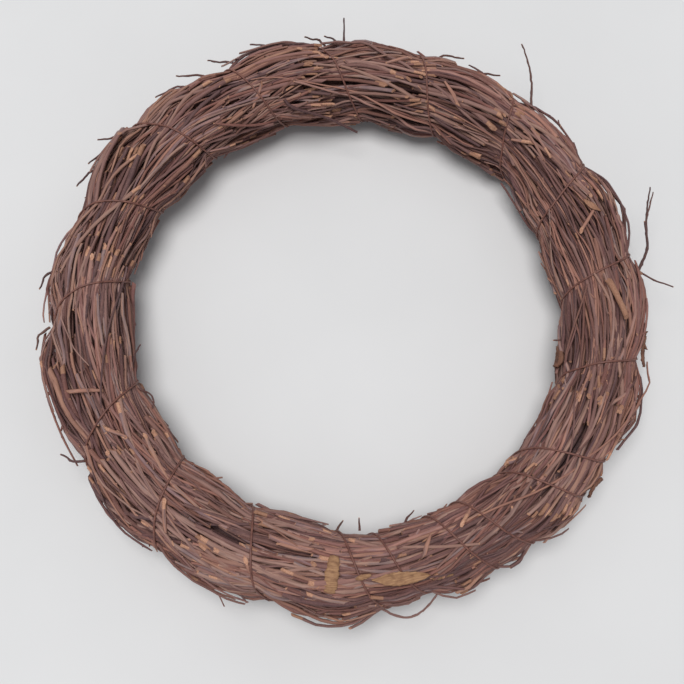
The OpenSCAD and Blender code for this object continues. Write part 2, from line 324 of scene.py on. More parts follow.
# Broken bits that lie across the others, in the same form
BROKEN_BITS = [
    (200, 60, 17, 70), (110, 105, 14, 50), (60, 120, 16, -40), (40, 100, 12, 35),
    (230, 90, 15, -50), (295, 110, 14, 40), (335, 80, 16, -35), (75, 70, 14, 30),
    (250, 80, 15, -60), (210, 85, 12, 40), (15, 110, 13, -45), (285, 90, 12, 55)]
for begin, phi, length, slant in BROKEN_BITS:
    lay(begin, phi, length, slant, 0, d1=2.0, d2=1.6, tries=1, spread=(0, 0), kind="over", cut=60, tint=0.84,
        butt_lift=0.6)

# Thin twigs that arc clear of the outline between turns: ring angle, section angle, length, rise in mm
OUTLINE_ARCS = [
    (0, 15, 95, 3.8), (5, 25, 80, 2.6), (10, 5, 70, 3.2), (30, 20, 80, 2.2), (185, 10, 70, 2.0),
    (210, 10, 60, 1.6), (270, 10, 60, 3.4), (260, 20, 75, 1.8), (160, 15, 60, 2.2), (120, 15, 60, 2.0),
    (330, 10, 70, 1.4), (225, 25, 70, 2.0), (40, 30, 60, 1.8), (290, 10, 60, 2.0)]
for begin, phi, length, arc in OUTLINE_ARCS:
    lay(begin, phi, length, rng.normal(0, 3), 6, d1=1.3, d2=0.9, tries=1, spread=(0, 0), arc=arc,
        lift=0.3, kind="over", deposit=False)

# ---------------------------------------------------------------- the wire, drawn tight over the twigs

# Points of the wire in one turn
STEPS = 48
wire_u = np.arange(WIRE_START, WIRE_END, 1 / STEPS)
wire_t, wire_p = wire_theta(wire_u), 360 * wire_u - 90
i, j = cell(wire_t, wire_p)
near = np.stack([height[(i + di) % CELLS_T, j] for di in (-2, -1, 0, 1, 2)]).max(0)
pad = 4
window = np.hanning(2 * pad + 3)
smooth = np.convolve(np.pad(near, pad, mode="edge"), window[1:-1] / window.sum(), mode="valid")
step = 2 * np.pi * MEAN_RHO / STEPS
wire_rho = np.empty_like(smooth)
# How far the wire presses into the twigs, in mm, and the points that are worked out at a time
BITE = 0.9
CHUNK, MARGIN = 200, 40
for begin in range(0, len(wire_u), CHUNK):
    lo, hi = max(0, begin - MARGIN), min(len(wire_u), begin + CHUNK + MARGIN)
    tight = bridge(smooth[lo:hi] - BITE, WIRE_BEND, step)
    wire_rho[begin:begin + CHUNK] = tight[begin - lo:begin - lo + CHUNK]
floor_limit = (MID - LOWEST - WIRE_R) / np.maximum(-np.sin(np.radians(wire_p)), 1e-3)
wire_rho = np.where(np.sin(np.radians(wire_p)) < -0.5, np.minimum(wire_rho, floor_limit), wire_rho)


def wire_under(theta, phi):
    """Height of the wire's underside where it passes nearest to a point on the bundle."""
    turn = np.arange(-1, TURNS + 1) + ((phi + 90) / 360) % 1
    turn = turn[(turn >= wire_u[0]) & (turn <= wire_u[-1])]
    off = np.abs((wire_theta(turn) - theta + 180) % 360 - 180)
    return np.interp(turn[off.argmin()], wire_u, wire_rho) - WIRE_R


# How far along a twig the wire draws it down, in mm
DRAWN = 9
for twig in twigs:
    for c in twig["crossings"]:
        over = twig["rho"][c] + twig["r"][c] - wire_under(twig["t"][c], twig["p"][c])
        if over > 0:
            twig["rho"] = twig["rho"] - over * np.exp(-((twig["s"] - c) / DRAWN) ** 2)
    # Nothing reaches below the surface that the wreath lies on
    dip = -np.sin(np.radians(twig["p"]))
    limit = (MID - 0.15 - twig["r"]) / np.maximum(dip, 1e-3)
    twig["rho"] = np.where(dip > 0.4, np.minimum(twig["rho"], limit), twig["rho"])

# ---------------------------------------------------------------- meshes


class Shell:
    """Collects tubes and plates for one piece."""

    def __init__(self):
        self.co, self.faces, self.slots, self.smooth = [], [], [], []
        self.grain, self.tint, self.count = [], [], 0

    def add(self, co, faces, grain, tint, slots, smooth):
        self.co.append(co)
        self.grain.append(grain)
        self.tint.append(np.full(len(co), tint))
        self.faces += [[v + self.count for v in f] for f in faces]
        self.slots += slots
        self.smooth += smooth
        self.count += len(co)

    def build(self, name, materials):
        mesh = bpy.data.meshes.new(name)
        co = np.concatenate(self.co)
        co[:, 2] = np.maximum(co[:, 2], LOWEST)
        mesh.from_pydata((co * MM).tolist(), [], self.faces)
        for m in materials:
            mesh.materials.append(m)
        mesh.polygons.foreach_set("material_index", self.slots)
        mesh.polygons.foreach_set("use_smooth", self.smooth)
        mesh.attributes.new("grain", "FLOAT_VECTOR", "POINT").data.foreach_set(
            "vector", np.concatenate(self.grain).astype(np.float32).ravel())
        mesh.attributes.new("tint", "FLOAT", "POINT").data.foreach_set(
            "value", np.concatenate(self.tint).astype(np.float32))
        mesh.update()
        piece = bpy.data.objects.new(name, mesh)
        bpy.context.scene.collection.objects.link(piece)
        return piece


def tube_faces(rings, sides):
    """Quads between the rings of a tube."""
    a = np.arange(rings - 1)[:, None] * sides
    s = np.arange(sides)[None, :]
    n = (s + 1) % sides
    quads = np.stack([a + s, a + n, a + sides + n, a + sides + s], -1)
    return quads.reshape(-1, 4).tolist()


def add_tube(shell, points, radii, out, tint, sides=6, cut=30, end_cut=10, rough=0.05, along=None,
             end_slot=1, cut_turn=0.0, bare=0):
    """A round twig through the points.

    cut is the slant of its butt's cut, in degrees, end_slot the material of its two ends, and bare the
    number of steps of its butt without bark."""
    n = len(points)
    tangent = np.gradient(points, axis=0)
    tangent /= np.linalg.norm(tangent, axis=1)[:, None]
    side = np.cross(tangent, out)
    side /= np.linalg.norm(side, axis=1)[:, None]
    up = np.cross(side, tangent)
    if along is None:
        along = np.concatenate([[0], np.cumsum(np.linalg.norm(np.diff(points, axis=0), axis=1))])
    turn = np.arange(sides) * 2 * np.pi / sides + rng.uniform(0, 2 * np.pi)
    wobble = 1 + rng.normal(0, rough, (n, sides))
    ring = np.cos(turn)[None, :, None] * up[:, None, :] + np.sin(turn)[None, :, None] * side[:, None, :]
    co = points[:, None, :] + (radii[:, None] * wobble)[:, :, None] * ring
    co[0] += (math.tan(math.radians(cut)) * radii[0] * np.cos(turn - cut_turn))[:, None] * tangent[0]
    co[-1] -= (math.tan(math.radians(end_cut)) * radii[-1] * np.cos(turn))[:, None] * tangent[-1]
    shift = rng.uniform(0, 400, 3)
    grain = np.stack([np.broadcast_to(np.cos(turn), (n, sides)), np.broadcast_to(np.sin(turn), (n, sides)),
                      np.broadcast_to(along[:, None], (n, sides))], -1) + shift
    faces = tube_faces(n, sides)
    slots, smooth = [1] * (bare * sides) + [0] * (len(faces) - bare * sides), [True] * len(faces)
    co, grain = co.reshape(-1, 3), grain.reshape(-1, 3)
    # The two ends: their own rim of vertices, so that the cut keeps a sharp edge
    for rim, flip in ((0, False), ((n - 1) * sides, True)):
        first = len(co)
        edge = co[rim:rim + sides]
        centre = edge.mean(0)
        co = np.concatenate([co, edge, [centre]])
        circle = np.stack([np.cos(turn), np.sin(turn), np.zeros(sides)], -1)
        flat = np.concatenate([circle, [[0, 0, 0]]]) + shift
        grain = np.concatenate([grain, flat])
        for k in range(sides):
            a, b = first + k, first + (k + 1) % sides
            faces.append([first + sides, a, b] if flip else [first + sides, b, a])
        slots += [end_slot] * sides
        smooth += [False] * sides
    shell.add(co, faces, grain, tint, slots, smooth)


def add_bud(shell, base, direction, out, size, tint):
    """A small pointed bud at a joint of a twig."""
    steps = np.array([0, 0.35, 0.75, 1.0])
    points = base + steps[:, None] * direction * size * 2.2
    radii = size * np.array([0.45, 0.62, 0.36, 0.06])
    add_tube(shell, points, radii, np.repeat(out[None], len(steps), 0), tint, sides=5, cut=0, end_cut=0,
             end_slot=0)


# Distance between the rings of a twig's mesh, in mm
RING_STEP = 5.5
# A joint has a bud if its draw is under the first, or else a stub of a side shoot if under the second
BUD_UNDER, STUB_UNDER = 0.30, 0.42


def add_twig(shell, twig):
    """Meshes a laid twig: rings along it, thicker at its joints, with buds and short stubs of side shoots."""
    s, joints = twig["s"], twig["joints"]
    bare = rng.uniform(1.2, 4.5) if rng.uniform() < (0.45 if twig["cut"] > 34 else 0.06) else 0
    at = np.concatenate([np.arange(0, s[-1], RING_STEP), [s[-1], bare], joints - 0.9, joints, joints + 1.1])
    at = np.unique(np.clip(at, 0, s[-1]))
    at = at[np.concatenate([[True], np.diff(at) > 0.5])]
    at = at[(at < 0.5) | (at > 2.4)]
    t, p, rho, r = (np.interp(at, s, twig[k]) for k in ("t", "p", "rho", "r"))
    swell = np.exp(-((at[:, None] - joints[None, :]) / 1.3) ** 2).sum(1)
    r = r * (1 + 0.16 * swell)
    r[-1] *= 0.8
    points, out = place(t, p, rho), outward(t, p)
    add_tube(shell, points, r, out, twig["tint"], cut=twig["cut"], cut_turn=rng.normal(0, 0.7), end_cut=30,
             along=at, bare=int(np.sum(at < bare - 0.3)))
    tangent = np.gradient(points, axis=0)
    tangent /= np.linalg.norm(tangent, axis=1)[:, None]
    for n, joint in enumerate(joints):
        k = np.abs(at - joint).argmin()
        side = np.cross(tangent[k], out[k]) * (1 if n % 2 else -1)
        lean = side * rng.uniform(0.2, 1) + out[k] * rng.uniform(-0.1, 0.8)
        lean /= np.linalg.norm(lean)
        pick = rng.uniform()
        if pick < BUD_UNDER:
            aim = tangent[k] * 0.85 + lean * 0.5
            add_bud(shell, points[k] + lean * r[k] * 0.7, aim / np.linalg.norm(aim), out[k],
                    rng.uniform(0.35, 0.6), twig["tint"])
        elif pick < STUB_UNDER:
            aim = tangent[k] * 0.8 + lean * 0.6
            aim /= np.linalg.norm(aim)
            length = rng.uniform(1.5, 4) * (1.6 if abs(out[k][2]) < 0.5 else 1)
            stub = points[k] + aim * np.array([0, 0.5, 1])[:, None] * length
            add_tube(shell, stub, np.array([0.62, 0.55, 0.5]) * r[k], np.repeat(out[k][None], 3, 0),
                     twig["tint"], sides=6, cut=0, end_cut=rng.uniform(0, 50))


# ---------------------------------------------------------------- materials


class Nodes:
    """Short calls for building a node tree."""

    def __init__(self, name):
        self.material = bpy.data.materials.new(name)
        self.material.use_nodes = True
        self.tree = self.material.node_tree
        self.surface = self.tree.nodes["Principled BSDF"]

    def add(self, kind, settings=None, **inputs):
        node = self.tree.nodes.new(kind)
        for key, value in (settings or {}).items():
            setattr(node, key, value)
        for key, value in inputs.items():
            self.plug(node, int(key[1:]) if key[0] == "i" and key[1:].isdigit() else key, value)
        return node

    def plug(self, node, key, value):
        socket = node.inputs[key]
        if isinstance(value, bpy.types.NodeSocket):
            self.tree.links.new(value, socket)
        else:
            socket.default_value = value

    def attribute(self, name, output="Fac"):
        return self.add("ShaderNodeAttribute", {"attribute_name": name}).outputs[output]

    def scaled(self, vector, x, y, z):
        return self.add("ShaderNodeVectorMath", {"operation": "MULTIPLY"}, i0=vector, i1=(x, y, z)).outputs[0]

    def noise(self, vector, scale, detail, rough):
        node = self.add("ShaderNodeTexNoise", None, Vector=vector, Scale=scale, Detail=detail,
                        Roughness=rough)
        return node.outputs["Fac"]

    def ramp(self, value, stops):
        node = self.add("ShaderNodeValToRGB", None, Fac=value)
        while len(node.color_ramp.elements) > 1:
            node.color_ramp.elements.remove(node.color_ramp.elements[-1])
        for n, (at, colour) in enumerate(stops):
            element = node.color_ramp.elements[0] if n == 0 else node.color_ramp.elements.new(at)
            element.position = at
            element.color = (*colour, 1)
        return node.outputs["Color"]

    def mix(self, share, a, b, blend="MIX"):
        """Mixes two colours, whose sockets on the mix node are 6 and 7."""
        node = self.add("ShaderNodeMix", {"data_type": "RGBA", "blend_type": blend})
        for key, value in ((0, share), (6, a), (7, b)):
            self.plug(node, key, value)
        return node.outputs[2]

    def math(self, operation, a, b=0.0):
        return self.add("ShaderNodeMath", {"operation": operation}, i0=a, i1=b).outputs[0]

    def bump(self, value, distance, strength, normal=None):
        node = self.add("ShaderNodeBump", None, Height=value, Distance=distance, Strength=strength)
        if normal is not None:
            self.plug(node, "Normal", normal)
        return node.outputs["Normal"]


def rgb(r, g, b):
    """Linear colour from the usual 0 to 255 values."""
    return tuple(((v / 255 + 0.055) / 1.055) ** 2.4 if v > 10 else v / 255 / 12.92 for v in (r, g, b))


def grey(v):
    """Linear grey."""
    return (v, v, v)


# Twigs differ in hue too: red, orange, plain, purple grey
HUES = [(0.0, (1.08, 0.90, 0.88)), (0.3, (1.08, 0.98, 0.88)), (0.5, (1.0, 1.01, 1.03)),
        (0.72, (0.95, 0.96, 1.02)), (1.0, (1.06, 0.93, 0.98))]


def bark_material(name, stops):
    """Bark with streaks along the twig, scaly patches and pale dots. tint picks the colour from stops."""
    m = Nodes(name)
    grain, tint = m.attribute("grain", "Vector"), m.attribute("tint")
    streaks = m.noise(m.scaled(grain, 1.6, 1.6, 0.10), 1.3, 5, 0.62)
    patches = m.noise(m.scaled(grain, 0.7, 0.7, 0.09), 1.0, 2, 0.5)
    scales = m.noise(m.scaled(grain, 1.3, 1.3, 0.55), 2.1, 3, 0.6)
    spots = m.add("ShaderNodeTexVoronoi", {"feature": "F1"}, Vector=m.scaled(grain, 1.7, 1.7, 0.8), Scale=1.1)
    dots = m.ramp(spots.outputs["Distance"], [(0.10, grey(1)), (0.2, grey(0))])
    age = m.math("ADD", tint, m.math("MULTIPLY", m.math("SUBTRACT", patches, 0.5), 0.6))
    hue = m.ramp(m.math("FRACT", m.math("MULTIPLY", tint, 7.3)), HUES)
    colour = m.mix(1.0, m.ramp(age, stops), hue, "MULTIPLY")
    shade = m.ramp(streaks, [(0.28, grey(0.5)), (0.5, grey(0.92)), (0.72, grey(1.0))])
    colour = m.mix(0.9, colour, shade, "MULTIPLY")
    colour = m.mix(m.math("MULTIPLY", m.ramp(scales, [(0.56, grey(0)), (0.72, grey(1))]), 0.45), colour,
                   (*rgb(168, 130, 114), 1))
    colour = m.mix(m.math("MULTIPLY", dots, 0.35), colour, (*rgb(176, 146, 130), 1))
    m.plug(m.surface, "Base Color", colour)
    m.plug(m.surface, "Roughness", m.ramp(streaks, [(0.3, grey(0.62)), (0.7, grey(0.88))]))
    m.surface.inputs["Specular IOR Level"].default_value = 0.28
    normal = m.bump(streaks, 0.00035, 0.7)
    normal = m.bump(dots, 0.00015, 0.6, normal)
    m.plug(m.surface, "Normal", normal)
    return m.material


BARK = [(0.0, rgb(94, 70, 70)), (0.15, rgb(110, 80, 76)), (0.35, rgb(128, 93, 86)), (0.55, rgb(142, 107, 98)),
        (0.72, rgb(154, 118, 106)), (0.86, rgb(170, 134, 119)), (0.93, rgb(146, 122, 118)),
        (1.0, rgb(132, 108, 106))]
bark = bark_material("bark", BARK)
# A darker copy of the bark: on the inner courses it is painted shade for the gaps deep in the bundle, on the
# stray twigs it is their own dark colour
DARK_AND_SHADED_BARK = [(0.0, rgb(78, 58, 58)), (0.5, rgb(104, 78, 75)), (1.0, rgb(124, 97, 93))]
dark_and_shaded_bark = bark_material("bark_dark", DARK_AND_SHADED_BARK)


def wood_material():
    """Cut or peeled wood: mottled, and browner where tint is low."""
    m = Nodes("cut_wood")
    grain, tint = m.attribute("grain", "Vector"), m.attribute("tint")
    mottle = m.noise(grain, 2.4, 4, 0.6)
    colour = m.ramp(mottle, [(0.3, rgb(152, 106, 86)), (0.5, rgb(188, 141, 116)), (0.7, rgb(208, 168, 142))])
    colour = m.mix(m.math("MULTIPLY", m.ramp(tint, [(0.35, grey(1)), (0.75, grey(0))]), 0.55), colour,
                   (*rgb(120, 84, 66), 1))
    m.plug(m.surface, "Base Color", colour)
    m.surface.inputs["Roughness"].default_value = 0.85
    m.surface.inputs["Specular IOR Level"].default_value = 0.25
    m.plug(m.surface, "Normal", m.bump(mottle, 0.0002, 0.5))
    return m.material


wood = wood_material()


def ring_coordinates(m, round_scale, section_scale):
    """A vector that runs slowly round the ring and quickly across it, for the frame's own nodes."""
    place_in = m.add("ShaderNodeTexCoord").outputs["Object"]
    axes = m.add("ShaderNodeSeparateXYZ", None, Vector=place_in)
    angle = m.math("ARCTAN2", axes.outputs["Y"], axes.outputs["X"])
    flat = m.scaled(place_in, 1, 1, 0)
    reach = m.add("ShaderNodeVectorMath", {"operation": "LENGTH"}, i0=flat).outputs["Value"]
    return m.add("ShaderNodeCombineXYZ", None, X=m.math("MULTIPLY", reach, section_scale),
                 Y=m.math("MULTIPLY", axes.outputs["Z"], section_scale),
                 Z=m.math("MULTIPLY", angle, round_scale)).outputs[0]


def steel_material():
    """Drawn steel with spots of rust, for the hoop."""
    m = Nodes("hoop_steel")
    drawn = m.noise(ring_coordinates(m, 3, 3000), 1.0, 4, 0.6)
    rust = m.noise(ring_coordinates(m, 22, 500), 1.0, 4, 0.6)
    colour = m.mix(m.ramp(rust, [(0.5, grey(0)), (0.62, grey(1))]),
                   (*rgb(138, 140, 143), 1), (*rgb(112, 66, 44), 1))
    m.plug(m.surface, "Base Color", colour)
    m.surface.inputs["Metallic"].default_value = 0.85
    m.plug(m.surface, "Roughness", m.ramp(rust, [(0.48, grey(0.35)), (0.62, grey(0.8))]))
    m.plug(m.surface, "Normal", m.bump(drawn, 0.0001, 0.5))
    return m.material


def wire_material():
    """Brown binding wire, paler where it is worn."""
    m = Nodes("winding_brown")
    grain = m.attribute("grain", "Vector")
    rust = m.noise(m.scaled(grain, 0.8, 0.8, 0.5), 1.0, 4, 0.65)
    worn = m.noise(m.scaled(grain, 1.5, 1.5, 0.12), 1.6, 4, 0.6)
    colour = m.ramp(rust, [(0.3, rgb(84, 52, 47)), (0.5, rgb(112, 72, 63)), (0.7, rgb(138, 94, 80))])
    colour = m.mix(m.ramp(worn, [(0.6, grey(0)), (0.72, grey(0.5))]), colour, (*rgb(134, 108, 98), 1))
    m.plug(m.surface, "Base Color", colour)
    m.plug(m.surface, "Roughness", m.ramp(rust, [(0.35, grey(0.42)), (0.65, grey(0.7))]))
    m.surface.inputs["Specular IOR Level"].default_value = 0.45
    m.plug(m.surface, "Normal", m.bump(rust, 0.0001, 0.6))
    return m.material


def leaf_material(name, dark, light, spot):
    """Dry leaf or bark: fibres round the ring, from dark to light, and blotches in the colour spot."""
    m = Nodes(name)
    grain = m.attribute("grain", "Vector")
    fibres = m.noise(m.scaled(grain, 0.25, 2.2, 0.3), 1.0, 5, 0.6)
    blotch = m.noise(m.scaled(grain, 0.35, 0.5, 0.3), 1.0, 3, 0.5)
    colour = m.ramp(fibres, [(0.3, rgb(*dark)), (0.7, rgb(*light))])
    colour = m.mix(m.ramp(blotch, [(0.5, grey(0)), (0.75, grey(0.7))]), colour, (*rgb(*spot), 1))
    m.plug(m.surface, "Base Color", colour)
    m.plug(m.surface, "Roughness", m.ramp(blotch, [(0.3, grey(0.6)), (0.7, grey(0.85))]))
    m.surface.inputs["Specular IOR Level"].default_value = 0.3
    m.plug(m.surface, "Normal", m.bump(fibres, 0.0003, 0.7))
    return m.material


winding = wire_material()
ochre_leaf = leaf_material("leaf_ochre", (134, 98, 72), (178, 138, 102), (108, 76, 58))
tan_skin = leaf_material("leaf_tan", (138, 98, 78), (172, 130, 104), (112, 78, 62))
rough_bark = leaf_material("bark_flake", (84, 56, 46), (140, 98, 78), (62, 44, 38))

# ---------------------------------------------------------------- pieces


def finish_piece(piece, slot, *nodes):
    """Fixes a piece to the body and hides the nodes that it replaces. slot is not used."""
    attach(piece, "root")
    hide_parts(*nodes)


# The ring is shared out among the frame's sheaves, and a twig goes where its middle lies. In degrees:
# where the first share begins, and how wide each is
FIRST_SHARE, SHARE = 43, 360 // COVER_SHEAVES
sheaves = [Shell() for _ in range(COVER_SHEAVES)]
over, below = Shell(), Shell()
for twig in twigs:
    middle_t, middle_p = twig["t"][len(twig["t"]) // 2], twig["p"][len(twig["p"]) // 2]
    under_side = math.cos(math.radians(middle_p + 90)) > math.cos(math.radians(28))
    if twig["kind"] == "over":
        add_twig(over, twig)
    elif under_side and twig["order"] % 3 == 0:
        add_twig(below, twig)
    else:
        add_twig(sheaves[int(((middle_t - FIRST_SHARE) % 360) // SHARE)], twig)
for k, shell in enumerate(sheaves):
    finish_piece(shell.build(f"twigs_{k + 1}", [bark, wood]), "twig_bark", f"cover_sheaf_{k + 1}")
finish_piece(over.build("twigs_over", [bark, wood]), "twig_bark", "bulge_twigs")
finish_piece(below.build("twigs_under", [bark, wood]), "dark_twig", "underside_twigs")

shell = Shell()
points = place(wire_t, wire_p, wire_rho)
add_tube(shell, points, np.full(len(points), WIRE_R), outward(wire_t, wire_p), 0.5, sides=8, cut=20,
         rough=0.0, end_slot=0)
finish_piece(shell.build("winding", [winding]), "binding_wire", "binding_wire")

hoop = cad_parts["core_hoop"]
hoop.data.materials.clear()
hoop.data.materials.append(steel_material())

# The inner courses: long twigs close together, each sheaf reaching about two eighths of the way round
# Each course: distance to the bundle's middle in mm, degrees from one twig to the next
COURSES = [(12.6, 14), (9.6, 18), (6.4, 26), (3.6, 45)]
SHEAF_SPAN, SHEAF_STEP = 88, 3.0
for k in range(BASE_SHEAVES):
    shell = Shell()
    for rho, apart in COURSES:
        for phi in np.arange(0, 360, apart) + (k % 2) * 7:
            span = np.arange(0, SHEAF_SPAN, SHEAF_STEP)
            line_t = 360 // BASE_SHEAVES * k + rng.uniform(0, 8) + span
            line_p = phi + rng.normal(0, 3)
            line_p += rng.normal(0, 4) * np.sin(np.radians(span * 2 + rng.uniform(0, 360)))
            line_rho = rho + rng.normal(0, 0.3)
            line_rho += 0.4 * np.sin(np.radians(span * 6 + rng.uniform(0, 360)))
            radii = rng.uniform(1.25, 1.75) * np.linspace(1, 0.8, len(span))
            add_tube(shell, place(line_t, line_p, line_rho), radii, outward(line_t, line_p), rng.uniform())
    # The inner courses take the darker bark copy: painted shade for the gaps deep in the bundle
    finish_piece(shell.build(f"inner_twigs_{k + 1}", [dark_and_shaded_bark, wood]), "twig_bark", f"base_sheaf_{k + 1}")

# ---------------------------------------------------------------- stray twigs


# About how far apart the rings of a stray twig's mesh are, in mm
STRAY_STEP = 1.6


def smooth_line(points):
    """A smooth curve through the points, resampled evenly."""
    points = np.asarray(points, float)
    n = len(points)
    out = []
    for k in range(n - 1):
        a, b = points[max(k - 1, 0)], points[k]
        c, d = points[k + 1], points[min(k + 2, n - 1)]
        for f in np.linspace(0, 1, 16, endpoint=False):
            out.append(0.5 * (2 * b + (c - a) * f + (2 * a - 5 * b + 4 * c - d) * f ** 2
                              + (3 * b - a - 3 * c + d) * f ** 3))
    out.append(points[-1])
    out = np.array(out)
    run = np.concatenate([[0], np.cumsum(np.linalg.norm(np.diff(out, axis=0), axis=1))])
    at = np.linspace(0, run[-1], max(int(run[-1] / STRAY_STEP), 3) + 1)
    return np.stack([np.interp(at, run, out[:, c]) for c in range(3)], -1)


def polar(theta, reach, z):
    """A point at the ring angle theta."""
    return [reach * math.cos(math.radians(theta)), reach * math.sin(math.radians(theta)), z]


def outside(theta, d, h):
    """A point d mm off the outer edge and h mm above the bundle's middle."""
    return polar(theta, RING + COVER + d, MID + h)


def inside(theta, d, h):
    """A point d mm off the inner edge, towards the ring's axis, and h mm above the bundle's middle."""
    return polar(theta, RING - COVER - d, MID + h)


# Distance from the outer course to where the tips begin to stand off, at the outer and the inner edge
TIP_ROOM = {1: 2, -1: -0.5}


def stem(start, heading, bend, reach, rise):
    """Points of a stray twig, by the same rule as in the frame.

    It leaves start towards heading, an angle in the plan, and turns by bend degrees on its way. It is reach
    long in the plan and climbs by rise."""
    points = []
    for s in (0, 0.25, 0.5, 0.75, 1):
        a = math.radians(heading + bend * s)
        x, y, z = start
        points.append([x + reach * s * math.cos(a), y + reach * s * math.sin(a), z + rise * s])
    return points


def tip(side, theta, lean, reach):
    """Points of a tip beside the bundle, by the same rule as in the frame, with its root in the bundle."""
    low = 4 + 3 * (theta * 0.618 % 1)
    points = [polar(theta - lean / 2, RING + side * (COVER - 3), MID + low - 1)]
    for s in (0, 0.5, 1):
        off = COVER + TIP_ROOM[side] + reach * s ** 1.5
        points.append(polar(theta + lean * s, RING + side * off, MID + low + 2 * s))
    return points


def loop(begin, end, h):
    """Points of a shallow loop off the outline, with both ends in the bundle."""
    return [outside(begin + (end - begin) * (1.5 * s - 0.25), 8 * math.sin(math.pi * s) - 5.5, h)
            for s in np.linspace(0, 1, 7)]


def stray(node, stems, material=None):
    """One or more bent twigs in place of a node. Each stem is (points, butt width, tip width)."""
    shell = Shell()
    for points, d1, d2 in stems:
        line = smooth_line(points)
        radii = np.linspace(d1, d2, len(line)) / 2
        joints = np.arange(rng.integers(2, 5), len(line) - 1, rng.integers(4, 7))
        radii[joints] *= 1.2
        up = np.tile([0.0, 0.0, 1.0], (len(line), 1))
        line[1:-1] += rng.normal(0, 0.10, (len(line) - 2, 3))
        add_tube(shell, line, radii, up, rng.uniform(0.1, 0.6), sides=7, cut=20, end_cut=25)
        for k in joints:
            lean = rng.normal(0, 1, 3)
            lean /= np.linalg.norm(lean)
            tangent = line[min(k + 1, len(line) - 1)] - line[k - 1]
            tangent /= np.linalg.norm(tangent)
            aim = tangent + lean * 0.6
            add_bud(shell, line[k], aim / np.linalg.norm(aim), up[0], min(0.45, radii[k]), 0.3)
    finish_piece(shell.build(f"{node}_look", [material or dark_and_shaded_bark, wood]), "dark_twig", node)


stray("stray_twig_top", [([outside(90, -4, 4)] + stem(outside(90, 4, 7), 90, 0, 9, 3), 1.4, 0.7)])
stray("stray_twig_tall", [([outside(47, -5, 6)] + stem(outside(50, 5, 9), 90, 12, 24, 6), 1.5, 0.7)])
main = stem(outside(10, 4, 10), 92, -8, 32, 4)
stray("stray_twig_forked", [
    ([outside(3, -6, 6), outside(7, -1, 8)] + main, 1.8, 0.7),
    (stem(main[2], 70, 0, 16, -2), 1.0, 0.6),
    (stem(main[1], 110, 0, 5, 4), 1.1, 0.7)])
stray("stray_twig_right", [([outside(9, -5, 3)] + stem(outside(5, 4, 4), -25, 0, 12, 1), 1.1, 0.7)])
stray("dark_twig_crown", [
    ([outside(theta, -4 - (84 - theta) / 8, 12 - (84 - theta) / 4) for theta in (84, 80, 76, 72)], 2.2, 1.6)])
stray("inner_twig_top", [
    ([inside(106, -6, 15)] + [inside(104 - 18 * s, 9 * s - 1, 13 - 15 * s) for s in (0, 0.5, 1)], 1.7, 1.2)])
stray("curly_twig_left", [([inside(202, -4, 6)] + stem(inside(205, 2, 7), -20, -50, 9, 1), 1.1, 0.6)])

# Each is (theta, lean, reach), as in the frame
stray("inner_spikes", [(tip(-1, *t), 1.2, 0.6) for t in (
    (197, -5, 6), (350, -1, 5), (17, -2, 2), (268, 1, 2), (273, 0, 3), (285, 2, 2))])
stray("edge_twigs_top", [(tip(1, *t), 1.4, 0.8) for t in (
    (114, 4, 5), (101, 8, 5), (95, 3, 2), (92, 2, 1), (69, -4, 1), (60, -3, 2))])
stray("edge_twigs_left", [(tip(1, *t), 1.4, 0.8) for t in (
    (121, 4, 5), (126, 5, 1), (142, 3, 6), (145, 5, 2), (151, 4, 1), (174, 3, 1), (186, 3, 1), (211, -2, 3))])
stray("loop_twigs", [(loop(*ends), 1.2, 0.9) for ends in (
    (217, 228, 0), (277, 285, 0), (188, 200, -2))], bark)

# ---------------------------------------------------------------- leaves and bark


def top_of(theta, phi, reach):
    """Height that four in five of the cells round a place on the bundle stay below, within reach cells."""
    i, j = cell(theta, phi)
    window = height[np.ix_(np.arange(i - reach, i + reach + 1) % CELLS_T,
                           np.arange(j - reach, j + reach + 1) % CELLS_P)]
    return float(np.percentile(window, 80))


def plate(node, plates, material, slot):
    """Thin curved flakes in place of a node.

    Each is (ring angle, section angle, turn, length, width, outline, curl, fold, thickness): the outline
    gives the half width at even steps along the length, as a share of the width."""
    shell = Shell()
    for theta, phi, turn, length, width, outline, curl, fold, thick in plates:
        # Points along and across
        n, w = 22, 9
        along = np.linspace(-0.5, 0.5, n)
        half = np.interp(along + 0.5, np.linspace(0, 1, len(outline)), outline) * width / 2
        ragged = 1 + rng.normal(0, 0.06, n)
        across = np.linspace(-1, 1, w)
        x = np.repeat((along * length)[:, None], w, 1)
        y = (half * ragged)[:, None] * across[None, :]
        z = curl * (2 * along[:, None]) ** 2 + fold * np.abs(across)[None, :] ** 1.3 \
            + 0.12 * rng.normal(0, 1, (n, w))
        c, s = math.cos(math.radians(turn)), math.sin(math.radians(turn))
        x, y = c * x - s * y, s * x + c * y
        base_t = theta + np.degrees(x / (RING + MEAN_RHO * math.cos(math.radians(phi))))
        base_p = phi + np.degrees(y / MEAN_RHO)
        rho = top_of(theta, phi, 6) + 0.35 + z
        top = place(base_t, base_p, rho + thick / 2).reshape(-1, 3)
        low = place(base_t, base_p, rho - thick / 2).reshape(-1, 3)
        faces = []
        for a in range(n - 1):
            for b in range(w - 1):
                q = [a * w + b, (a + 1) * w + b, (a + 1) * w + b + 1, a * w + b + 1]
                faces.append(q)
                faces.append([v + n * w for v in reversed(q)])
        rim = [a * w for a in range(n)] + [(n - 1) * w + b for b in range(1, w)] \
            + [a * w + w - 1 for a in range(n - 2, -1, -1)] + list(range(w - 2, 0, -1))
        for a, b in zip(rim, rim[1:] + rim[:1]):
            faces.append([a, a + n * w, b + n * w, b])
        grain = np.stack([x, y, np.zeros_like(x)], -1).reshape(-1, 3) + rng.uniform(0, 99, 3)
        shell.add(np.concatenate([top, low]), faces, np.concatenate([grain, grain]), 0.5,
                  [0] * len(faces), [True] * len(faces))
    finish_piece(shell.build(f"{node}_look", [material]), slot, node)


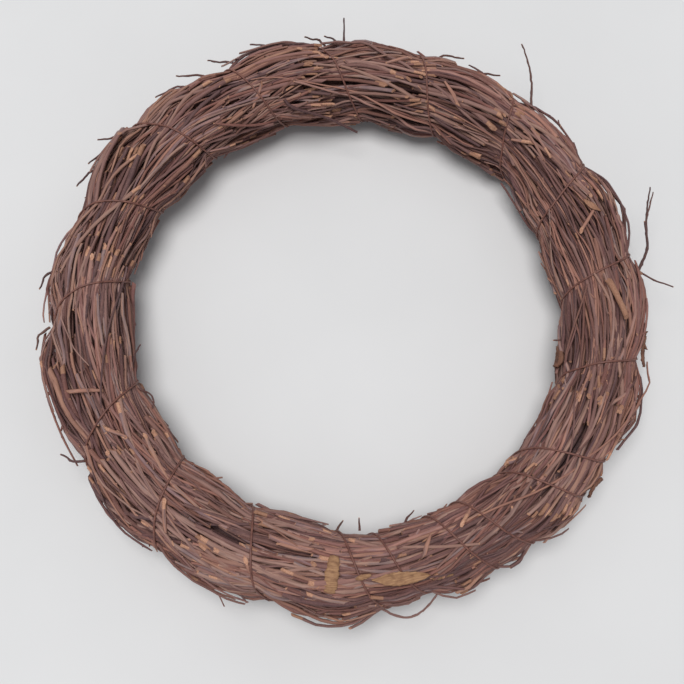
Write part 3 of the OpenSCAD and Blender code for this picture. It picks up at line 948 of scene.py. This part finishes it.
# Outlines, as plate() takes them
blade = [0.05, 0.35, 0.7, 0.95, 1.0, 0.9, 0.7, 0.45, 0.05]
strip = [0.75, 1.0, 0.95, 1.0, 0.9, 0.95, 0.6]
flake = [0.3, 0.8, 1.0, 0.9, 0.7, 0.35]
plate("leaf_blade", [(280, 75, -8, 26, 6.4, blade, 0.8, 0.7, 0.4)], ochre_leaf, "dry_leaf")
plate("tan_leaf", [(20, 85, 30, 10, 2.8, blade, 0.6, 0.4, 0.4)], tan_skin, "dry_leaf")
plate("bark_strip", [(267, 87, 84, 15, 6.0, strip, -0.3, -0.9, 0.8)], ochre_leaf, "dry_leaf")
plate("bark_chips", [(273, 84, 10, 7, 2.4, flake, 0.2, -0.4, 0.7),
                     (288, 50, -12, 10, 2.8, flake, 0.3, -0.4, 0.7)], ochre_leaf, "dry_leaf")
plate("bark_lump", [(345, 168, 8, 11, 8, flake, 0.6, -1.6, 1.4),
                    (344, 160, -14, 8, 5, flake, 0.5, -1.0, 1.0)], rough_bark, "dark_twig")
plate("ragged_bark", [(350, 20, 30, 15, 5, strip, 1.2, -0.8, 0.7), (352, 24, 12, 9, 3, flake, 1.6, -0.4, 0.6),
                      (322, 12, -20, 12, 4.6, strip, 1.0, -0.8, 0.7)], rough_bark, "dark_twig")

# The peeled twig lies straight over the twigs at the right
shell = Shell()
POINTS = 12
line_t, line_p = np.linspace(362, 354, POINTS), np.linspace(96, 80, POINTS)
line_rho = np.array([top_of(a % 360, b, 3) for a, b in zip(line_t, line_p)])
line_rho = np.full(POINTS, np.percentile(line_rho, 70)) + 1.1
add_tube(shell, place(line_t, line_p, line_rho), np.linspace(1.5, 1.25, POINTS), outward(line_t, line_p), 0.2,
         cut=50, end_cut=35, sides=10, end_slot=0)
finish_piece(shell.build("peeled_twig_look", [wood]), "pale_wood", "peeled_twig")

# ---------------------------------------------------------------- floor, light and camera


def floor_material():
    """Matt off-white, very slightly uneven."""
    m = Nodes("floor")
    spot = m.add("ShaderNodeTexCoord").outputs["Object"]
    soft = m.noise(spot, 9.0, 3, 0.5)
    m.plug(m.surface, "Base Color", m.ramp(soft, [(0.3, grey(0.69)), (0.7, grey(0.72))]))
    m.surface.inputs["Roughness"].default_value = 0.8
    m.surface.inputs["Specular IOR Level"].default_value = 0.1
    return m.material


# Half the floor's width
FLOOR = 3
floor_mesh = bpy.data.meshes.new("floor")
corners = [(-FLOOR, -FLOOR, 0), (FLOOR, -FLOOR, 0), (FLOOR, FLOOR, 0), (-FLOOR, FLOOR, 0)]
floor_mesh.from_pydata(corners, [], [(0, 1, 2, 3)])
floor_mesh.materials.append(floor_material())
floor = bpy.data.objects.new("floor", floor_mesh)
bpy.context.scene.collection.objects.link(floor)


def area_light(name, position, aim, size, power, colour):
    """A round lamp that points at aim."""
    data = bpy.data.lights.new(name, "AREA")
    data.shape, data.size, data.energy, data.color = "DISK", size, power, colour
    lamp = bpy.data.objects.new(name, data)
    lamp.location = position
    lamp.rotation_euler = (Vector(aim) - Vector(position)).to_track_quat("-Z", "Y").to_euler()
    bpy.context.scene.collection.objects.link(lamp)


area_light("key", (-0.3, -0.12, 3.2), (0, 0, 0), 1.9, 78, (1.0, 0.99, 0.985))
world = bpy.data.worlds.new("studio")
world.use_nodes = True
world.node_tree.nodes["Background"].inputs["Color"].default_value = (0.93, 0.96, 1.0, 1)
world.node_tree.nodes["Background"].inputs["Strength"].default_value = 0.4
bpy.context.scene.world = world

# The camera stands where a fit to the photo put it. LENS and SENSOR are in mm, and ROLL is in degrees
EYE, AIM = Vector((-0.0019, -0.1481, 0.4595)), Vector((-0.0019, -0.0108, 0))
LENS, SENSOR, ROLL = 48.6, 36, -0.29
camera = bpy.data.objects.new("camera", bpy.data.cameras.new("camera"))
camera.data.lens, camera.data.sensor_width = LENS, SENSOR
camera.data.clip_start, camera.data.clip_end = 0.02, 20
camera.location = EYE
roll = Matrix.Rotation(math.radians(ROLL), 4, "Z")
facing = (AIM - EYE).to_track_quat("-Z", "Y").to_matrix().to_4x4() @ roll
camera.rotation_euler = facing.to_euler()
bpy.context.scene.collection.objects.link(camera)
bpy.context.scene.camera = camera
bpy.context.scene.view_settings.view_transform = "Standard"
